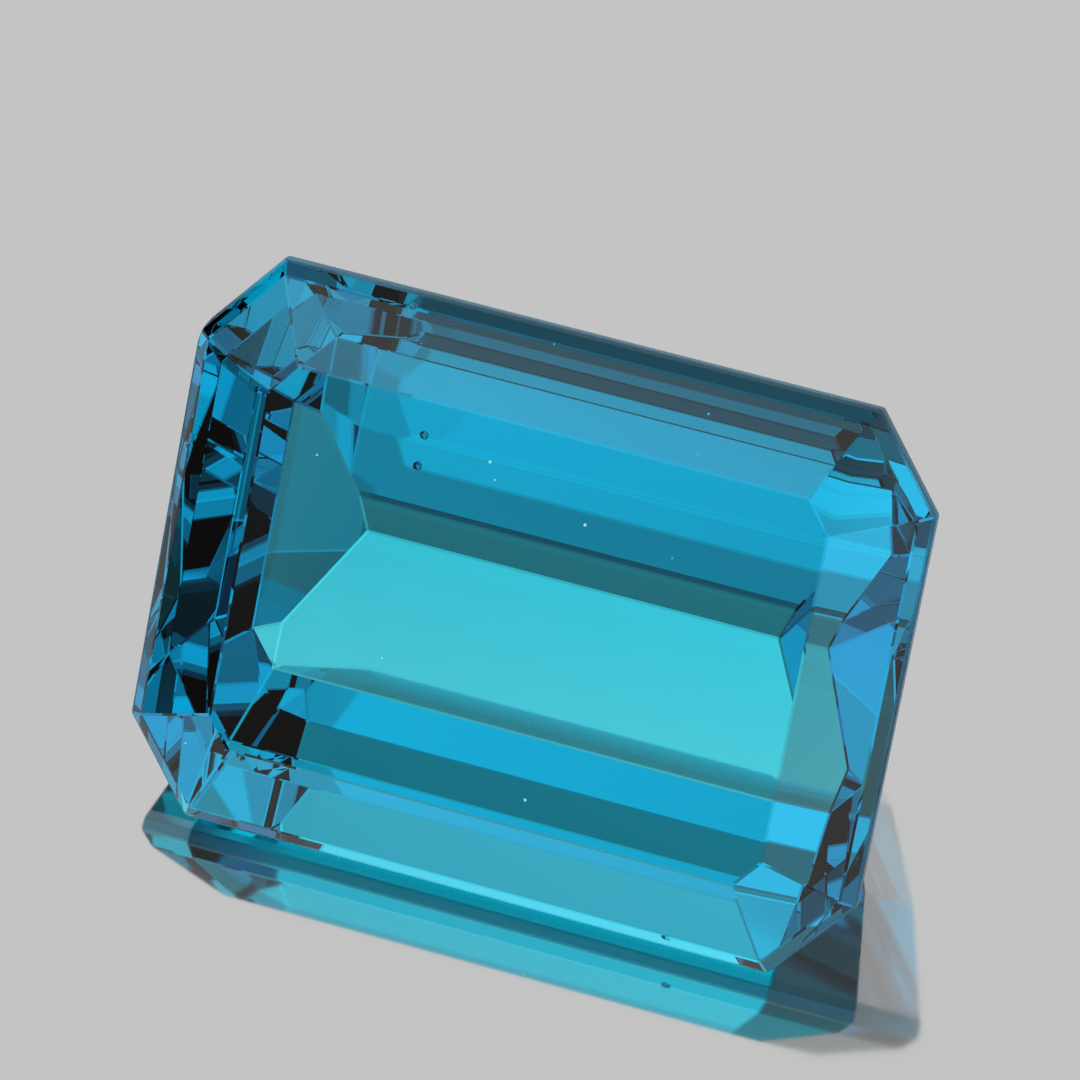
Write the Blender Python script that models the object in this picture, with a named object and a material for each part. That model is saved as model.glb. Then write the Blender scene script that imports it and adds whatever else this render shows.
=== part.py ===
"""A loose blue topaz in an octagonal step cut, lying on one long side of its pavilion.

The stone is cut from a block, one flat facet after another. While it is cut, X runs along the stone,
Y across it and Z out through the table, with Z = 0 at the middle of the girdle. The near side is the
one that it lies on, at -Y, and the left end is at -X. The finished stone is then turned about X until
its resting facet lies on the ground at Z = 0, with its table towards -Y.
"""

import math

import bmesh
import bpy
from mathutils import Matrix, Vector

MM = 0.001

# Girdle outline, an oblong with its corners cut off
HALF_LENGTH = 8.0 * MM
HALF_WIDTH = 6.15 * MM
CORNER_ALONG = 1.55 * MM
CORNER_ACROSS = 1.9 * MM
GIRDLE_THICKNESS = 0.26 * MM

# Facet angles are from the girdle plane, in degrees, and each step ends at the same level all round
# Crown, a steep narrow step and then a shallow wide one up to the table
CROWN_LEVELS = (0.3 * MM, 0.9 * MM)
CROWN_ANGLES = (45.0, 20.0)

# Pavilion, three steps down to the keel; the stone lies on the second step of its near side
RESTING_ANGLE = 54.5
PAVILION_LEVELS = (2.5 * MM, 4.5 * MM)
PAVILION_ANGLES = {
    "side": (60.0, RESTING_ANGLE, 30.0),
    "end": (75.0, 65.0, 45.0),
    "corner": (65.0, 60.0, 45.0),
}

# Keel facet, a narrow strip on the far side of the keel
KEEL_FACET_START = 0.6 * MM
KEEL_FACET_ANGLE = 20.0

# Wear, the far left corner of the girdle rubbed round in narrow flats
WORN_RADIUS = 1.2 * MM
WORN_FLATS = 3

# Rough block and cutting tolerance
BLOCK_SIZE = 40.0 * MM
MEETING_POINT = 0.001 * MM

# Finish of the crystal
TOPAZ_COLOR = (0.0, 0.42, 0.72, 1.0)
TOPAZ_IOR = 1.62
POLISH_ROUGHNESS = 0.01

COLLECTION_NAME = "blue_topaz"
STONE_NAME = "stone"


def clear_scene():
    """Removes whatever the scene already holds."""
    for item in list(bpy.data.objects):
        bpy.data.objects.remove(item, do_unlink=True)


def girdle_sides():
    """Returns each side of the girdle as its kind, its outward direction and its distance from the middle."""
    corner = Vector((CORNER_ACROSS, CORNER_ALONG, 0.0)).normalized()
    on_corner = Vector((HALF_LENGTH, HALF_WIDTH - CORNER_ACROSS, 0.0))
    sides = []
    for sign in (-1, 1):
        sides.append(("side", Vector((0.0, sign, 0.0)), HALF_WIDTH))
        sides.append(("end", Vector((sign, 0.0, 0.0)), HALF_LENGTH))
        for across in (-1, 1):
            outward = Vector((sign * corner.x, across * corner.y, 0.0))
            sides.append(("corner", outward, corner.dot(on_corner)))
    return sides


def grind(stone, point, normal):
    """Takes away what lies beyond a plane and closes the stone with a new facet."""
    shape = stone.verts[:] + stone.edges[:] + stone.faces[:]
    cut = bmesh.ops.bisect_plane(
        stone, geom=shape, dist=MEETING_POINT, plane_co=point, plane_no=normal, clear_outer=True
    )
    rim = [item for item in cut["geom_cut"] if isinstance(item, bmesh.types.BMEdge)]
    open_rim = [edge for edge in rim if edge.is_valid and len(edge.link_faces) == 1]
    if open_rim:
        bmesh.ops.edgeloop_fill(stone, edges=open_rim)


def grind_slope(stone, outward, reach, height, angle):
    """Grinds a facet that faces outward and, above the girdle, up or, below it, down."""
    tilt = math.radians(angle)
    rise = math.copysign(math.cos(tilt), height)
    grind(stone, outward * reach + Vector((0.0, 0.0, height)), outward * math.sin(tilt) + Vector((0.0, 0.0, rise)))


def cut_girdle(stone):
    """Cuts the eight upright sides of the girdle."""
    for _kind, outward, distance in girdle_sides():
        grind(stone, outward * distance, outward)


def step_starts(distance, angles, levels):
    """Returns where each step begins: its distance from the middle and its level from the girdle's rim."""
    starts = [(distance, 0.0)]
    level = 0.0
    for angle, next_level in zip(angles, levels):
        distance -= (next_level - level) / math.tan(math.radians(angle))
        level = next_level
        starts.append((distance, level))
    return starts


def cut_crown(stone):
    """Cuts both steps of the crown, then the table on top."""
    rim = GIRDLE_THICKNESS / 2
    for step in range(len(CROWN_LEVELS)):
        for _kind, outward, distance in girdle_sides():
            reach, level = step_starts(distance, CROWN_ANGLES, CROWN_LEVELS)[step]
            grind_slope(stone, outward, reach, rim + level, CROWN_ANGLES[step])
    grind(stone, Vector((0.0, 0.0, rim + CROWN_LEVELS[-1])), Vector((0.0, 0.0, 1.0)))


def cut_pavilion(stone):
    """Cuts the steps of the pavilion, each all round before the next one down."""
    rim = GIRDLE_THICKNESS / 2
    for step in range(len(PAVILION_LEVELS) + 1):
        for kind, outward, distance in girdle_sides():
            angles = PAVILION_ANGLES[kind]
            reach, level = step_starts(distance, angles, PAVILION_LEVELS)[step]
            grind_slope(stone, outward, reach, -rim - level, angles[step])


def cut_keel_facet(stone):
    """Cuts the narrow strip that runs along the keel."""
    angles = PAVILION_ANGLES["side"]
    reach, level = step_starts(HALF_WIDTH, angles, PAVILION_LEVELS)[-1]
    slope = math.tan(math.radians(angles[-1]))
    level += (reach - KEEL_FACET_START) * slope
    far = Vector((0.0, 1.0, 0.0))
    grind_slope(stone, far, KEEL_FACET_START, -GIRDLE_THICKNESS / 2 - level, KEEL_FACET_ANGLE)


def wear_corner(stone):
    """Rubs off the far left corner of the girdle."""
    corner = Vector((-HALF_LENGTH, HALF_WIDTH - CORNER_ACROSS, 0.0))
    end_side = Vector((-1.0, 0.0, 0.0))
    corner_side = Vector((-CORNER_ACROSS, CORNER_ALONG, 0.0)).normalized()
    middle = (end_side + corner_side).normalized()
    round_center = corner - middle * (WORN_RADIUS / middle.dot(end_side))
    for flat in range(WORN_FLATS):
        outward = end_side.slerp(corner_side, (flat + 1) / (WORN_FLATS + 1))
        grind(stone, round_center + outward * WORN_RADIUS, outward)


def lay_down(stone):
    """Turns the stone about X onto its resting facet and centres it over the origin."""
    bmesh.ops.rotate(stone, verts=stone.verts[:], matrix=Matrix.Rotation(math.radians(RESTING_ANGLE), 3, "X"))
    low = [min(vertex.co[axis] for vertex in stone.verts) for axis in range(3)]
    high = [max(vertex.co[axis] for vertex in stone.verts) for axis in range(3)]
    to_origin = Vector((-(low[0] + high[0]) / 2, -(low[1] + high[1]) / 2, -low[2]))
    bmesh.ops.translate(stone, verts=stone.verts[:], vec=to_origin)


def topaz_material():
    """Returns the clear blue finish of the crystal."""
    material = bpy.data.materials.new("blue_topaz")
    material.use_nodes = True
    shader = material.node_tree.nodes["Principled BSDF"]
    shader.inputs["Base Color"].default_value = TOPAZ_COLOR
    shader.inputs["Roughness"].default_value = POLISH_ROUGHNESS
    shader.inputs["IOR"].default_value = TOPAZ_IOR
    shader.inputs["Transmission Weight"].default_value = 1.0
    material.diffuse_color = TOPAZ_COLOR
    return material


def build_stone(collection):
    """Cuts the whole stone and adds it to the collection."""
    stone = bmesh.new()
    bmesh.ops.create_cube(stone, size=BLOCK_SIZE)
    cut_girdle(stone)
    cut_crown(stone)
    cut_pavilion(stone)
    cut_keel_facet(stone)
    wear_corner(stone)
    lay_down(stone)
    bmesh.ops.remove_doubles(stone, verts=stone.verts[:], dist=MEETING_POINT)
    bmesh.ops.recalc_face_normals(stone, faces=stone.faces[:])
    mesh = bpy.data.meshes.new(STONE_NAME)
    stone.to_mesh(mesh)
    stone.free()
    mesh.materials.append(topaz_material())
    stone_object = bpy.data.objects.new(STONE_NAME, mesh)
    collection.objects.link(stone_object)
    return stone_object


def main():
    """Builds the stone in its own collection."""
    clear_scene()
    collection = bpy.data.collections.new(COLLECTION_NAME)
    bpy.context.scene.collection.children.link(collection)
    build_stone(collection)


if __name__ == "__main__":
    main()
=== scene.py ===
"""Dresses a loose blue topaz in an octagonal step cut and sets it on a pale polished floor.

The stone lies on one long side of its pavilion, with its table towards -Y and upwards. X runs along it.
"""
import math

import bmesh
import bpy
from bpy.props import FloatProperty, FloatVectorProperty, IntProperty, PointerProperty
from mathutils import Matrix, Vector


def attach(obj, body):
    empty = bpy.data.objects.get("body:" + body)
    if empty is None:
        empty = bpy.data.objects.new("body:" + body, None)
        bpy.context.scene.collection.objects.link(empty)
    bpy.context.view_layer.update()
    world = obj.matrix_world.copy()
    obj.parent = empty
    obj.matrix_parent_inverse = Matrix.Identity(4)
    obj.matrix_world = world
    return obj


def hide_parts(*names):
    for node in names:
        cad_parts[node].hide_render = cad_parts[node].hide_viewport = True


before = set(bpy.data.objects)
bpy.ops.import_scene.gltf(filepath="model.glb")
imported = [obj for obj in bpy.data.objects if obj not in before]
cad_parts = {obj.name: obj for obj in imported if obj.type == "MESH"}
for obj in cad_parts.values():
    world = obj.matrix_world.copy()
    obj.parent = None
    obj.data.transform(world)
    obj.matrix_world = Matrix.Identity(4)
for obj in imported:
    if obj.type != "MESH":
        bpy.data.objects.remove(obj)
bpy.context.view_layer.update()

bl_info = {
    "name": "Blue Topaz",
    "version": (1, 0, 0),
    "blender": (4, 5, 0),
    "location": "3D View > Sidebar > Topaz",
    "description": "Makes a step cut blue topaz, its finish, its pinpoints and its stage",
    "category": "Add Mesh",
}

MM = 0.001
SENSOR_WIDTH = 36.0
STONE_NODE = "stone"
BODY = "root"

# Pinpoints, by the column and row of the photograph that each shows at and its depth below the table
PICTURE_WIDTH = 1080
PINPOINTS = (
    (490, 462, 0.5 * MM),
    (495, 480, 0.5 * MM),
    (585, 525, 0.4 * MM),
    (317, 455, 0.5 * MM),
    (525, 800, 0.6 * MM),
    (382, 658, 0.8 * MM),
    (185, 744, 0.6 * MM),
)

# Chips on the stone's edges, in metres along it, up its table and below the table's plane
CHIPS = (
    (4.2 * MM, -5.85 * MM, 0.6 * MM),
    (-5.2 * MM, -4.2 * MM, 0.0 * MM),
    (-3.5 * MM, 5.85 * MM, 0.6 * MM),
)

# White softboxes: degrees round from -Y towards +X, degrees up, and brightness
BACK_LIGHT = (180.0, 35.0, 1.2)
KEY_LIGHT = (-45.0, 50.0, 1.0)
FILL_LIGHT = (70.0, 40.0, 0.8)
FRONT_LIGHT = (30.0, 10.0, 0.6)
SOFTBOXES = (BACK_LIGHT, KEY_LIGHT, FILL_LIGHT, FRONT_LIGHT)


# Reading the stone from the frame


def facet_areas():
    """Returns the area that each facet direction of the stone adds up to."""
    areas = {}
    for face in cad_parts[STONE_NODE].data.polygons:
        direction = tuple(round(value, 2) for value in face.normal)
        total, weighted = areas.get(direction, (0.0, Vector()))
        areas[direction] = (total + face.area, weighted + face.normal * face.area)
    return areas


def table_normal():
    """Returns the direction that the table faces: the largest facet that is turned to -Y and upwards."""
    upward = [entry for entry in facet_areas().values() if entry[1].y < 0 and entry[1].z > 0]
    return max(upward, key=lambda entry: entry[0])[1].normalized()


def girdle_corners():
    """Returns the corners of the girdle's upright sides."""
    out = table_normal()
    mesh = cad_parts[STONE_NODE].data
    upright = [face for face in mesh.polygons if abs(face.normal.dot(out)) < 0.02]
    return [mesh.vertices[index].co for face in upright for index in face.vertices]


def girdle_band():
    """Returns the lowest and highest level of the girdle along the table's normal."""
    levels = [corner.dot(table_normal()) for corner in girdle_corners()]
    return min(levels), max(levels)


def girdle_middle():
    """Returns the middle of the girdle, the point that the camera's distance is measured from."""
    out = table_normal()
    across = out.cross(Vector((1.0, 0.0, 0.0)))
    middle = Vector()
    for axis in (Vector((1.0, 0.0, 0.0)), across, out):
        levels = [corner.dot(axis) for corner in girdle_corners()]
        middle += axis * (min(levels) + max(levels)) / 2
    return middle


def table_level():
    """Returns how far the table's plane lies along its own normal."""
    out = table_normal()
    return max(vertex.co.dot(out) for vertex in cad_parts[STONE_NODE].data.vertices)


def place_on_table(along, up, depth):
    """Returns the point so far along the stone, up its slanted table and below the table's plane."""
    out = table_normal()
    uphill = out.cross(Vector((1.0, 0.0, 0.0)))
    middle = girdle_middle()
    drop = table_level() - middle.dot(out) - depth
    return middle + out * drop + Vector((along, 0.0, 0.0)) + uphill * up


def place_in_picture(stage, refractive_index, column, row, depth):
    """Returns the point below the table that shows at a place in the picture, as the crystal bends light."""
    across = column / PICTURE_WIDTH - 0.5 + stage.camera_shift[0]
    upward = 0.5 - row / PICTURE_WIDTH + stage.camera_shift[1]
    reach = stage.camera_lens / SENSOR_WIDTH
    ray = camera_turn(stage) @ Vector((across, upward, -reach)).normalized()
    out = table_normal()
    camera = camera_place(stage)
    entry = camera + ray * ((table_level() - camera.dot(out)) / ray.dot(out))
    steepness = -ray.dot(out)
    ratio = 1.0 / refractive_index
    straightened = ratio * steepness - math.sqrt(1.0 - ratio ** 2 * (1.0 - steepness ** 2))
    bent = ray * ratio + out * straightened
    return entry + bent * (depth / -bent.dot(out))


# Settings that a user may change


class TopazStoneSettings(bpy.types.PropertyGroup):
    """Finish and colour of the crystal"""

    edge_width: FloatProperty(
        name="Edge width",
        description="Width of the rounded line where two facets meet",
        default=0.03 * MM,
        min=0.0,
        unit="LENGTH",
    )
    body_color: FloatVectorProperty(
        name="Body colour",
        description="Colour that the crystal lets through",
        default=(0.0, 0.92, 0.99),
        min=0.0,
        max=1.0,
        subtype="COLOR",
    )
    color_density: FloatProperty(
        name="Colour density",
        description="How strongly the crystal takes up the other colours, per metre",
        default=400.0,
        min=0.0,
    )
    refractive_index: FloatProperty(
        name="Refractive index",
        description="Refractive index of topaz",
        default=1.62,
        min=1.0,
        max=3.0,
    )
    polish: FloatProperty(
        name="Polish",
        description="Roughness of the polished facets",
        default=0.002,
        min=0.0,
        max=1.0,
        subtype="FACTOR",
    )
    chip_radius: FloatProperty(
        name="Chip radius",
        description="Radius of the hollow that each small chip leaves at an edge",
        default=0.13 * MM,
        min=0.0,
        unit="LENGTH",
    )
    chip_depth: FloatProperty(
        name="Chip depth",
        description="How deep each small chip reaches into the stone",
        default=0.04 * MM,
        min=0.0,
        unit="LENGTH",
    )
    girdle_roughness: FloatProperty(
        name="Girdle roughness",
        description="Roughness of the ground girdle",
        default=0.35,
        min=0.0,
        max=1.0,
        subtype="FACTOR",
    )


class TopazPinpointSettings(bpy.types.PropertyGroup):
    """Small pale crystals inside the stone, made brighter by a painted glow"""

    radius: FloatProperty(
        name="Radius",
        description="Radius of the largest pinpoint",
        default=0.04 * MM,
        min=0.0,
        unit="LENGTH",
    )
    smallest: FloatProperty(
        name="Smallest",
        description="Size of the smallest pinpoint as a share of the largest",
        default=0.5,
        min=0.0,
        max=1.0,
        subtype="FACTOR",
    )
    seed: IntProperty(
        name="Seed",
        description="Chooses the pinpoints' sizes and turns",
        default=4,
    )


class TopazStageSettings(bpy.types.PropertyGroup):
    """Floor, light and camera"""

    floor_size: FloatProperty(
        name="Floor size",
        description="Length of the floor's sides",
        default=1.2,
        min=0.1,
        unit="LENGTH",
    )
    floor_gap: FloatProperty(
        name="Floor gap",
        description="Gap that keeps the floor off the resting facet",
        default=0.02 * MM,
        min=0.0,
        unit="LENGTH",
    )
    floor_color: FloatVectorProperty(
        name="Floor colour",
        description="Colour of the pale polished floor",
        default=(0.78, 0.78, 0.78),
        min=0.0,
        max=1.0,
        subtype="COLOR",
    )
    floor_roughness: FloatProperty(
        name="Floor roughness",
        description="Roughness of the floor's polish",
        default=0.06,
        min=0.0,
        max=1.0,
        subtype="FACTOR",
    )
    surround: FloatProperty(
        name="Surround",
        description="Brightness of the pale studio around the stone",
        default=0.707,
        min=0.0,
    )
    softbox_strength: FloatProperty(
        name="Softbox strength",
        description="Brightness of all the softboxes together",
        default=1.0,
        min=0.0,
    )
    softbox_sharpness: FloatProperty(
        name="Softbox sharpness",
        description="How quickly each softbox fades away from its middle; a higher number is a smaller one",
        default=9.0,
        min=1.0,
    )
    camera_azimuth: FloatProperty(
        name="Camera azimuth",
        description="How far the camera stands round from -Y towards +X",
        default=math.radians(20.5),
        subtype="ANGLE",
    )
    camera_elevation: FloatProperty(
        name="Camera elevation",
        description="How high the camera stands above the horizon",
        default=math.radians(50.6),
        subtype="ANGLE",
    )
    camera_roll: FloatProperty(
        name="Camera roll",
        description="How far the camera is turned about its line of sight",
        default=math.radians(-1.35),
        subtype="ANGLE",
    )
    camera_distance: FloatProperty(
        name="Camera distance",
        description="Distance from the camera to the middle of the girdle",
        default=167.2 * MM,
        unit="LENGTH",
    )
    camera_lens: FloatProperty(
        name="Camera lens",
        description="Focal length of the lens in millimetres, for a sensor 36 mm wide",
        default=269.7,
        min=1.0,
    )
    camera_shift: FloatVectorProperty(
        name="Camera shift",
        description="Sideways and upward shift of the lens, as shares of the picture's width",
        default=(0.0099, 0.0688),
        size=2,
    )


# Shader maths


class Value:
    """A shader number; Python arithmetic on it adds Math nodes."""

    def __init__(self, shader, socket):
        self.shader = shader
        self.socket = socket

    def math(self, operation, first, second=None):
        """Adds one Math node and returns its result."""
        values = {0: first}
        if second is not None:
            values[1] = second
        node = self.shader.node("ShaderNodeMath", {"operation": operation}, values)
        return Value(self.shader, node.outputs[0])

    def __add__(self, other):
        return self.math("ADD", self, other)

    def __radd__(self, other):
        return self.math("ADD", other, self)

    def __sub__(self, other):
        return self.math("SUBTRACT", self, other)

    def __rsub__(self, other):
        return self.math("SUBTRACT", other, self)

    def __mul__(self, other):
        return self.math("MULTIPLY", self, other)

    def __rmul__(self, other):
        return self.math("MULTIPLY", other, self)

    def __abs__(self):
        return self.math("ABSOLUTE", self)

    def __lt__(self, other):
        return self.math("LESS_THAN", self, other)

    def __gt__(self, other):
        return self.math("GREATER_THAN", self, other)

    def exponent(self):
        """Returns e to the power of this number."""
        return self.math("EXPONENT", self)


class Shader:
    """The nodes of a new material or world."""

    def __init__(self, owner, output):
        owner.use_nodes = True
        self.owner = owner
        self.tree = owner.node_tree
        self.tree.nodes.clear()
        self.output = self.node(output)

    def finish(self, surface, volume=None):
        """Links the finished surface, and the volume if there is one, and returns the material or world."""
        self.tree.links.new(surface.outputs[0], self.output.inputs["Surface"])
        if volume:
            self.tree.links.new(volume.outputs[0], self.output.inputs["Volume"])
        return self.owner

    def node(self, kind, settings=None, values=None):
        """Adds one node with its settings, then the values or links of its sockets."""
        made = self.tree.nodes.new(kind)
        for name, setting in (settings or {}).items():
            setattr(made, name, setting)
        for name, value in (values or {}).items():
            socket = made.inputs[name]
            source = value.socket if isinstance(value, Value) else value
            if isinstance(source, bpy.types.NodeSocket):
                self.tree.links.new(source, socket)
            else:
                socket.default_value = source
        return made

    def position(self):
        """Returns the surface's own coordinates, in metres."""
        return self.node("ShaderNodeTexCoord").outputs["Object"]

    def level(self, place, direction):
        """Returns how far the surface lies along a direction."""
        node = self.node("ShaderNodeVectorMath", {"operation": "DOT_PRODUCT"}, {0: place, 1: direction})
        return Value(self, node.outputs["Value"])

    def mix(self, factor, first, second):
        """Returns a colour between two."""
        ends = {"A": (*first, 1.0), "B": (*second, 1.0)}
        node = self.node("ShaderNodeMix", {"data_type": "RGBA"}, {"Factor": factor, **ends})
        return node.outputs["Result"]

    def noise(self, place, scale, detail=2.0):
        """Returns smooth noise of so many waves a metre."""
        node = self.node("ShaderNodeTexNoise", {}, {"Vector": place, "Scale": scale, "Detail": detail})
        return Value(self, node.outputs[0])


def topaz_material(settings):
    """Returns clear blue crystal: polished facets, a ground girdle and faint polishing lines."""
    shader = Shader(bpy.data.materials.new("clear_blue_topaz"), "ShaderNodeOutputMaterial")
    place = shader.position()
    low, high = girdle_band()
    from_middle = abs(shader.level(place, table_normal()) - (low + high) / 2)
    on_girdle = from_middle < (high - low) / 2 - 0.005 * MM
    stretched = shader.node("ShaderNodeMapping", {}, {"Vector": place, "Scale": (0.05, 1.0, 1.0)})
    lines = shader.noise(stretched.outputs[0], 9000.0, 1.0)
    roughness = settings.polish * (lines + 0.5) + on_girdle * settings.girdle_roughness
    cloud = shader.noise(place, 160.0, 0.0)
    tint = shader.mix(cloud, (0.97, 0.995, 1.0), (1.0, 1.0, 1.0))
    crystal = shader.node(
        "ShaderNodeBsdfPrincipled", {},
        {
            "Base Color": tint,
            "Roughness": roughness,
            "IOR": settings.refractive_index,
            "Transmission Weight": 1.0,
        },
    )
    color = (*settings.body_color, 1.0)
    depth = shader.node("ShaderNodeVolumeAbsorption", {}, {"Color": color, "Density": settings.color_density})
    return shader.finish(crystal, depth)


def floor_material(settings):
    """Returns the pale polished floor."""
    shader = Shader(bpy.data.materials.new("pale_polished_floor"), "ShaderNodeOutputMaterial")
    place = shader.position()
    cloud = shader.noise(place, 60.0, 2.0)
    surface = shader.node(
        "ShaderNodeBsdfPrincipled", {},
        {
            "Base Color": (*settings.floor_color, 1.0),
            "Metallic": 1.0,
            "Roughness": settings.floor_roughness + (cloud - 0.5) * 0.01,
        },
    )
    return shader.finish(surface)


# Pieces


def new_piece(name, mesh):
    """Adds an object of the model at the origin."""
    piece = bpy.data.objects.new(name, mesh)
    bpy.context.scene.collection.objects.link(piece)
    return piece


def polished_shape(settings):
    """Returns the cut stone as a mesh with a fine flat line along every edge."""
    shape = bmesh.new()
    shape.from_mesh(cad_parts[STONE_NODE].data)
    bmesh.ops.remove_doubles(shape, verts=shape.verts[:], dist=0.001 * MM)
    bmesh.ops.dissolve_limit(shape, angle_limit=math.radians(0.2), verts=shape.verts[:], edges=shape.edges[:])
    bmesh.ops.bevel(
        shape, geom=shape.edges[:], offset=settings.edge_width, offset_type="OFFSET",
        segments=1, affect="EDGES", clamp_overlap=True,
    )
    bmesh.ops.recalc_face_normals(shape, faces=shape.faces[:])
    mesh = bpy.data.meshes.new("polished_stone")
    shape.to_mesh(mesh)
    shape.free()
    return mesh


def chip_cutter(settings):
    """Returns a mesh of small balls that bite into the stone's edges where it is chipped."""
    corners = girdle_corners()
    middle = sum(corners, Vector()) / len(corners)
    shape = bmesh.new()
    for along, up, depth in CHIPS:
        edge = place_on_table(along, up, depth)
        outward = (edge - middle).normalized()
        place = edge + outward * (settings.chip_radius - settings.chip_depth)
        bmesh.ops.create_icosphere(
            shape, subdivisions=1, radius=settings.chip_radius, matrix=Matrix.Translation(place)
        )
    mesh = bpy.data.meshes.new("chip_cutter")
    shape.to_mesh(mesh)
    shape.free()
    return mesh


def chipped(mesh, settings):
    """Returns the mesh with the small chips cut out of it."""
    stone = bpy.data.objects.new("uncut_stone", mesh)
    cutter = bpy.data.objects.new("chip_cutter", chip_cutter(settings))
    for item in (stone, cutter):
        bpy.context.scene.collection.objects.link(item)
    cut = stone.modifiers.new("chips", "BOOLEAN")
    cut.operation = "DIFFERENCE"
    cut.solver = "EXACT"
    cut.object = cutter
    depsgraph = bpy.context.evaluated_depsgraph_get()
    result = bpy.data.meshes.new_from_object(stone.evaluated_get(depsgraph))
    result.name = "polished_stone"
    for item in (stone, cutter):
        bpy.data.objects.remove(item, do_unlink=True)
    return result


class TopazPolishStone(bpy.types.Operator):
    """Makes the polished stone from the cut one, with fine edges and a few small chips"""

    bl_idname = "topaz.polish_stone"
    bl_label = "Polish the Stone"

    def execute(self, context):
        settings = context.scene.topaz_stone
        mesh = chipped(polished_shape(settings), settings)
        mesh.materials.clear()
        mesh.materials.append(topaz_material(settings))
        stone = new_piece("polished_stone", mesh)
        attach(stone, BODY)
        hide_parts(STONE_NODE)
        return {"FINISHED"}


def pinpoint_tree():
    """Returns the Geometry Nodes tree that sets a small crystal of its own size and turn on every point."""
    tree = bpy.data.node_groups.new("pinpoints", "GeometryNodeTree")
    made = tree.interface.new_socket
    made("Geometry", in_out="INPUT", socket_type="NodeSocketGeometry")
    made("Radius", in_out="INPUT", socket_type="NodeSocketFloat")
    made("Smallest", in_out="INPUT", socket_type="NodeSocketFloat")
    made("Seed", in_out="INPUT", socket_type="NodeSocketInt")
    made("Material", in_out="INPUT", socket_type="NodeSocketMaterial")
    made("Geometry", in_out="OUTPUT", socket_type="NodeSocketGeometry")
    given = tree.nodes.new("NodeGroupInput").outputs
    result = tree.nodes.new("NodeGroupOutput").inputs
    points = tree.nodes.new("GeometryNodeMeshToPoints")
    crystal = tree.nodes.new("GeometryNodeMeshIcoSphere")
    crystal.inputs["Subdivisions"].default_value = 1
    share = tree.nodes.new("FunctionNodeRandomValue")
    share.data_type = "FLOAT"
    turn = tree.nodes.new("FunctionNodeRandomValue")
    turn.data_type = "FLOAT_VECTOR"
    turn.inputs["Max"].default_value = (math.tau, math.tau, math.tau)
    placed = tree.nodes.new("GeometryNodeInstanceOnPoints")
    real = tree.nodes.new("GeometryNodeRealizeInstances")
    finish = tree.nodes.new("GeometryNodeSetMaterial")
    link = tree.links.new
    link(given["Geometry"], points.inputs["Mesh"])
    link(given["Radius"], crystal.inputs["Radius"])
    smallest = next(socket for socket in share.inputs if socket.name == "Min" and socket.enabled)
    link(given["Smallest"], smallest)
    link(given["Seed"], share.inputs["Seed"])
    link(given["Seed"], turn.inputs["Seed"])
    link(points.outputs["Points"], placed.inputs["Points"])
    link(crystal.outputs["Mesh"], placed.inputs["Instance"])
    link(next(socket for socket in turn.outputs if socket.enabled), placed.inputs["Rotation"])
    link(next(socket for socket in share.outputs if socket.enabled), placed.inputs["Scale"])
    link(placed.outputs["Instances"], real.inputs["Geometry"])
    link(real.outputs["Geometry"], finish.inputs["Geometry"])
    link(given["Material"], finish.inputs["Material"])
    link(finish.outputs["Geometry"], result["Geometry"])
    return tree


def pinpoint_material_with_painted_glow():
    """Returns the pale milky look of the tiny crystals, with a painted glow that stands in for the glints
    they catch from a lamp.
    """
    shader = Shader(bpy.data.materials.new("milky_pinpoint_painted_glow"), "ShaderNodeOutputMaterial")
    cloud = shader.noise(shader.position(), 30000.0, 0.0)
    tint = shader.mix(cloud, (0.6, 0.85, 0.95), (0.9, 0.97, 1.0))
    # Painted light: the emission makes the crystals glow in their own tint, as a painted glint in place of
    # catching a lamp
    surface = shader.node(
        "ShaderNodeBsdfPrincipled", {},
        {
            "Base Color": tint,
            "Roughness": 0.3 + cloud * 0.2,
            "Emission Color": tint,
            "Emission Strength": 0.7,
        },
    )
    shader.owner.cycles.emission_sampling = "NONE"
    return shader.finish(surface)


class TopazAddPinpoints(bpy.types.Operator):
    """Adds the tiny crystals that lie just below the table"""

    bl_idname = "topaz.add_pinpoints"
    bl_label = "Add the Pinpoints"

    def execute(self, context):
        settings = context.scene.topaz_pinpoints
        seeds = bmesh.new()
        stage, index = context.scene.topaz_stage, context.scene.topaz_stone.refractive_index
        for column, row, depth in PINPOINTS:
            seeds.verts.new(place_in_picture(stage, index, column, row, depth))
        mesh = bpy.data.meshes.new("pinpoint_places")
        seeds.to_mesh(mesh)
        seeds.free()
        holder = new_piece("pinpoint_places", mesh)
        tree = pinpoint_tree()
        grown = holder.modifiers.new("pinpoints", "NODES")
        grown.node_group = tree
        values = {
            "Radius": settings.radius,
            "Smallest": settings.smallest,
            "Seed": settings.seed,
            "Material": pinpoint_material_with_painted_glow(),
        }
        for item in tree.interface.items_tree:
            if item.in_out == "INPUT" and item.name in values:
                grown[item.identifier] = values[item.name]
        depsgraph = context.evaluated_depsgraph_get()
        result = bpy.data.meshes.new_from_object(holder.evaluated_get(depsgraph))
        result.name = "pinpoints"
        bpy.data.objects.remove(holder, do_unlink=True)
        pinpoints = new_piece("pinpoints", result)
        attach(pinpoints, BODY)
        return {"FINISHED"}


class TopazSetStage(bpy.types.Operator):
    """Sets the pale floor, the soft studio light and the camera"""

    bl_idname = "topaz.set_stage"
    bl_label = "Set the Stage"

    def execute(self, context):
        settings = context.scene.topaz_stage
        add_floor(settings)
        add_studio(context.scene, settings)
        add_camera(context.scene, settings)
        return {"FINISHED"}


# Stage


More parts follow.
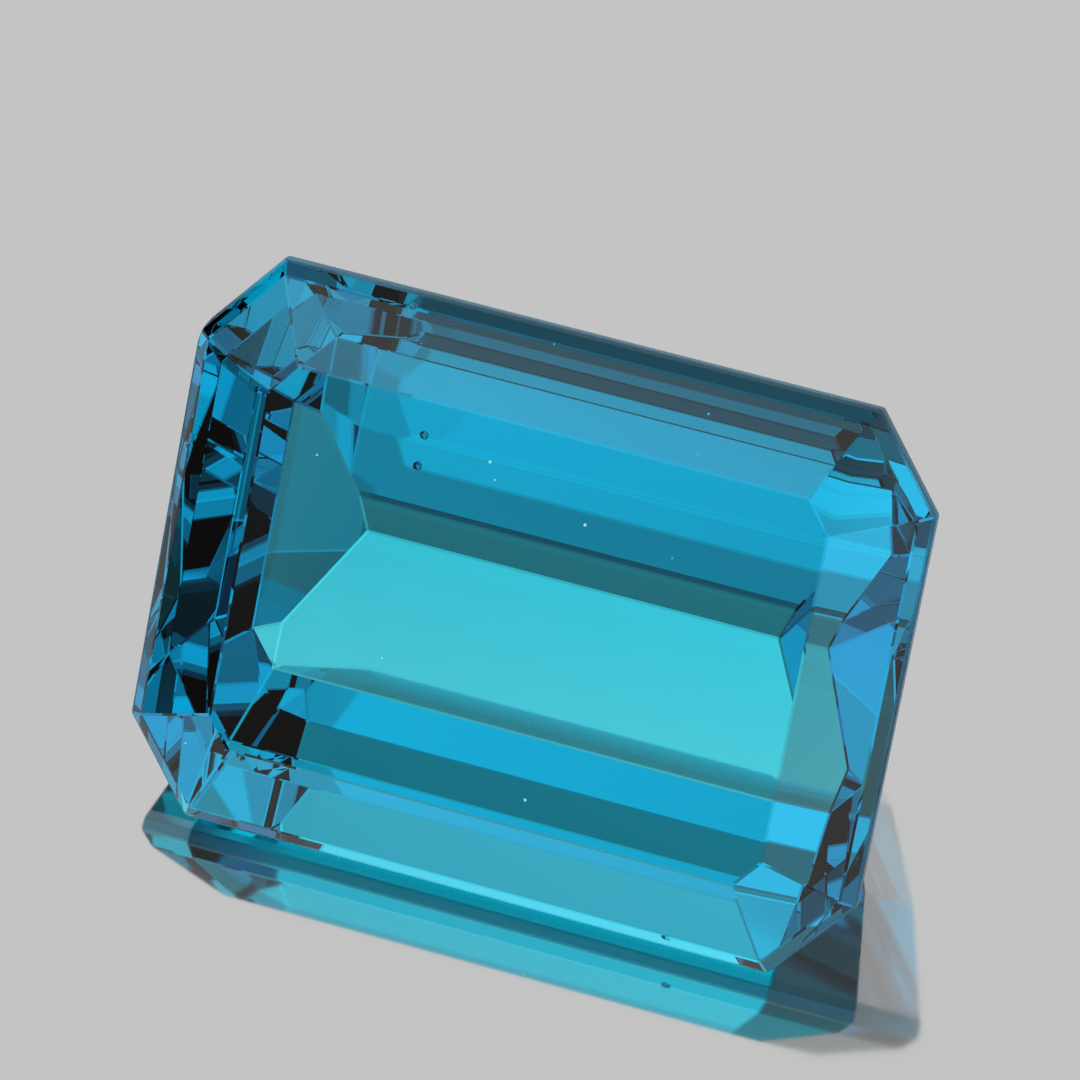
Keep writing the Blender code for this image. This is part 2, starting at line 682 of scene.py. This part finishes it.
def add_floor(settings):
    """Lays the floor under the stone."""
    shape = bmesh.new()
    bmesh.ops.create_grid(shape, x_segments=1, y_segments=1, size=settings.floor_size / 2)
    bmesh.ops.translate(shape, verts=shape.verts[:], vec=(0.0, 0.0, -settings.floor_gap))
    mesh = bpy.data.meshes.new("floor")
    shape.to_mesh(mesh)
    shape.free()
    mesh.materials.append(floor_material(settings))
    floor = new_piece("floor", mesh)


def toward(azimuth, elevation):
    """Returns the direction that lies so far round from -Y towards +X and so far up."""
    level = math.cos(elevation)
    return Vector((math.sin(azimuth) * level, -math.cos(azimuth) * level, math.sin(elevation)))


def add_studio(scene, settings):
    """Lights the floor with a plain pale room, and the crystal with white softboxes in the dark."""
    shader = Shader(bpy.data.worlds.new("soft_studio"), "ShaderNodeOutputWorld")
    direction = shader.node("ShaderNodeTexCoord").outputs["Generated"]
    softboxes = 0.0
    for azimuth, elevation, brightness in SOFTBOXES:
        aim = toward(math.radians(azimuth), math.radians(elevation))
        glow = ((shader.level(direction, aim) - 1.0) * settings.softbox_sharpness).exponent()
        softboxes = glow * brightness + softboxes
    path = shader.node("ShaderNodeLightPath").outputs
    through = Value(shader, path["Transmission Depth"]) > 0.5
    by_crystal = Value(shader, path["Is Singular Ray"])
    only_floor = (1 - through) * (1 - by_crystal)
    strength = only_floor * settings.surround + (1 - only_floor) * softboxes * settings.softbox_strength
    white = (1.0, 1.0, 1.0, 1.0)
    background = shader.node("ShaderNodeBackground", {}, {"Color": white, "Strength": strength})
    scene.world = shader.finish(background)
    scene.world.cycles.sampling_method = "NONE"


def camera_place(settings):
    """Returns where the camera stands."""
    outward = toward(settings.camera_azimuth, settings.camera_elevation)
    return girdle_middle() + outward * settings.camera_distance


def camera_turn(settings):
    """Returns how the camera is turned."""
    outward = toward(settings.camera_azimuth, settings.camera_elevation)
    roll = Matrix.Rotation(settings.camera_roll, 4, outward)
    return roll.to_quaternion() @ (-outward).to_track_quat("-Z", "Y")


def add_camera(scene, settings):
    """Places the camera where the photograph was taken from."""
    lens = bpy.data.cameras.new("camera")
    lens.lens = settings.camera_lens
    lens.sensor_width = SENSOR_WIDTH
    lens.shift_x, lens.shift_y = settings.camera_shift
    lens.clip_start = 0.001
    camera = bpy.data.objects.new("camera", lens)
    camera.location = camera_place(settings)
    camera.rotation_mode = "QUATERNION"
    camera.rotation_quaternion = camera_turn(settings)
    scene.collection.objects.link(camera)
    scene.camera = camera
    scene.view_settings.view_transform = "Standard"


class TopazPanel(bpy.types.Panel):
    """Lists the steps that make the stone and its stage"""

    bl_idname = "VIEW3D_PT_topaz"
    bl_label = "Blue Topaz"
    bl_space_type = "VIEW_3D"
    bl_region_type = "UI"
    bl_category = "Topaz"

    def draw(self, context):
        for operator in (TopazPolishStone, TopazAddPinpoints, TopazSetStage):
            self.layout.operator(operator.bl_idname)


CLASSES = (
    TopazStoneSettings,
    TopazPinpointSettings,
    TopazStageSettings,
    TopazPolishStone,
    TopazAddPinpoints,
    TopazSetStage,
    TopazPanel,
)


def register():
    """Adds the classes and the settings."""
    for item in CLASSES:
        bpy.utils.register_class(item)
    bpy.types.Scene.topaz_stone = PointerProperty(type=TopazStoneSettings)
    bpy.types.Scene.topaz_pinpoints = PointerProperty(type=TopazPinpointSettings)
    bpy.types.Scene.topaz_stage = PointerProperty(type=TopazStageSettings)


def unregister():
    """Takes the classes and the settings away."""
    del bpy.types.Scene.topaz_stage
    del bpy.types.Scene.topaz_pinpoints
    del bpy.types.Scene.topaz_stone
    for item in reversed(CLASSES):
        bpy.utils.unregister_class(item)


def main():
    """Makes every piece and the stage."""
    register()
    bpy.ops.topaz.polish_stone()
    bpy.ops.topaz.add_pinpoints()
    bpy.ops.topaz.set_stage()


if __name__ == "__main__":
    main()
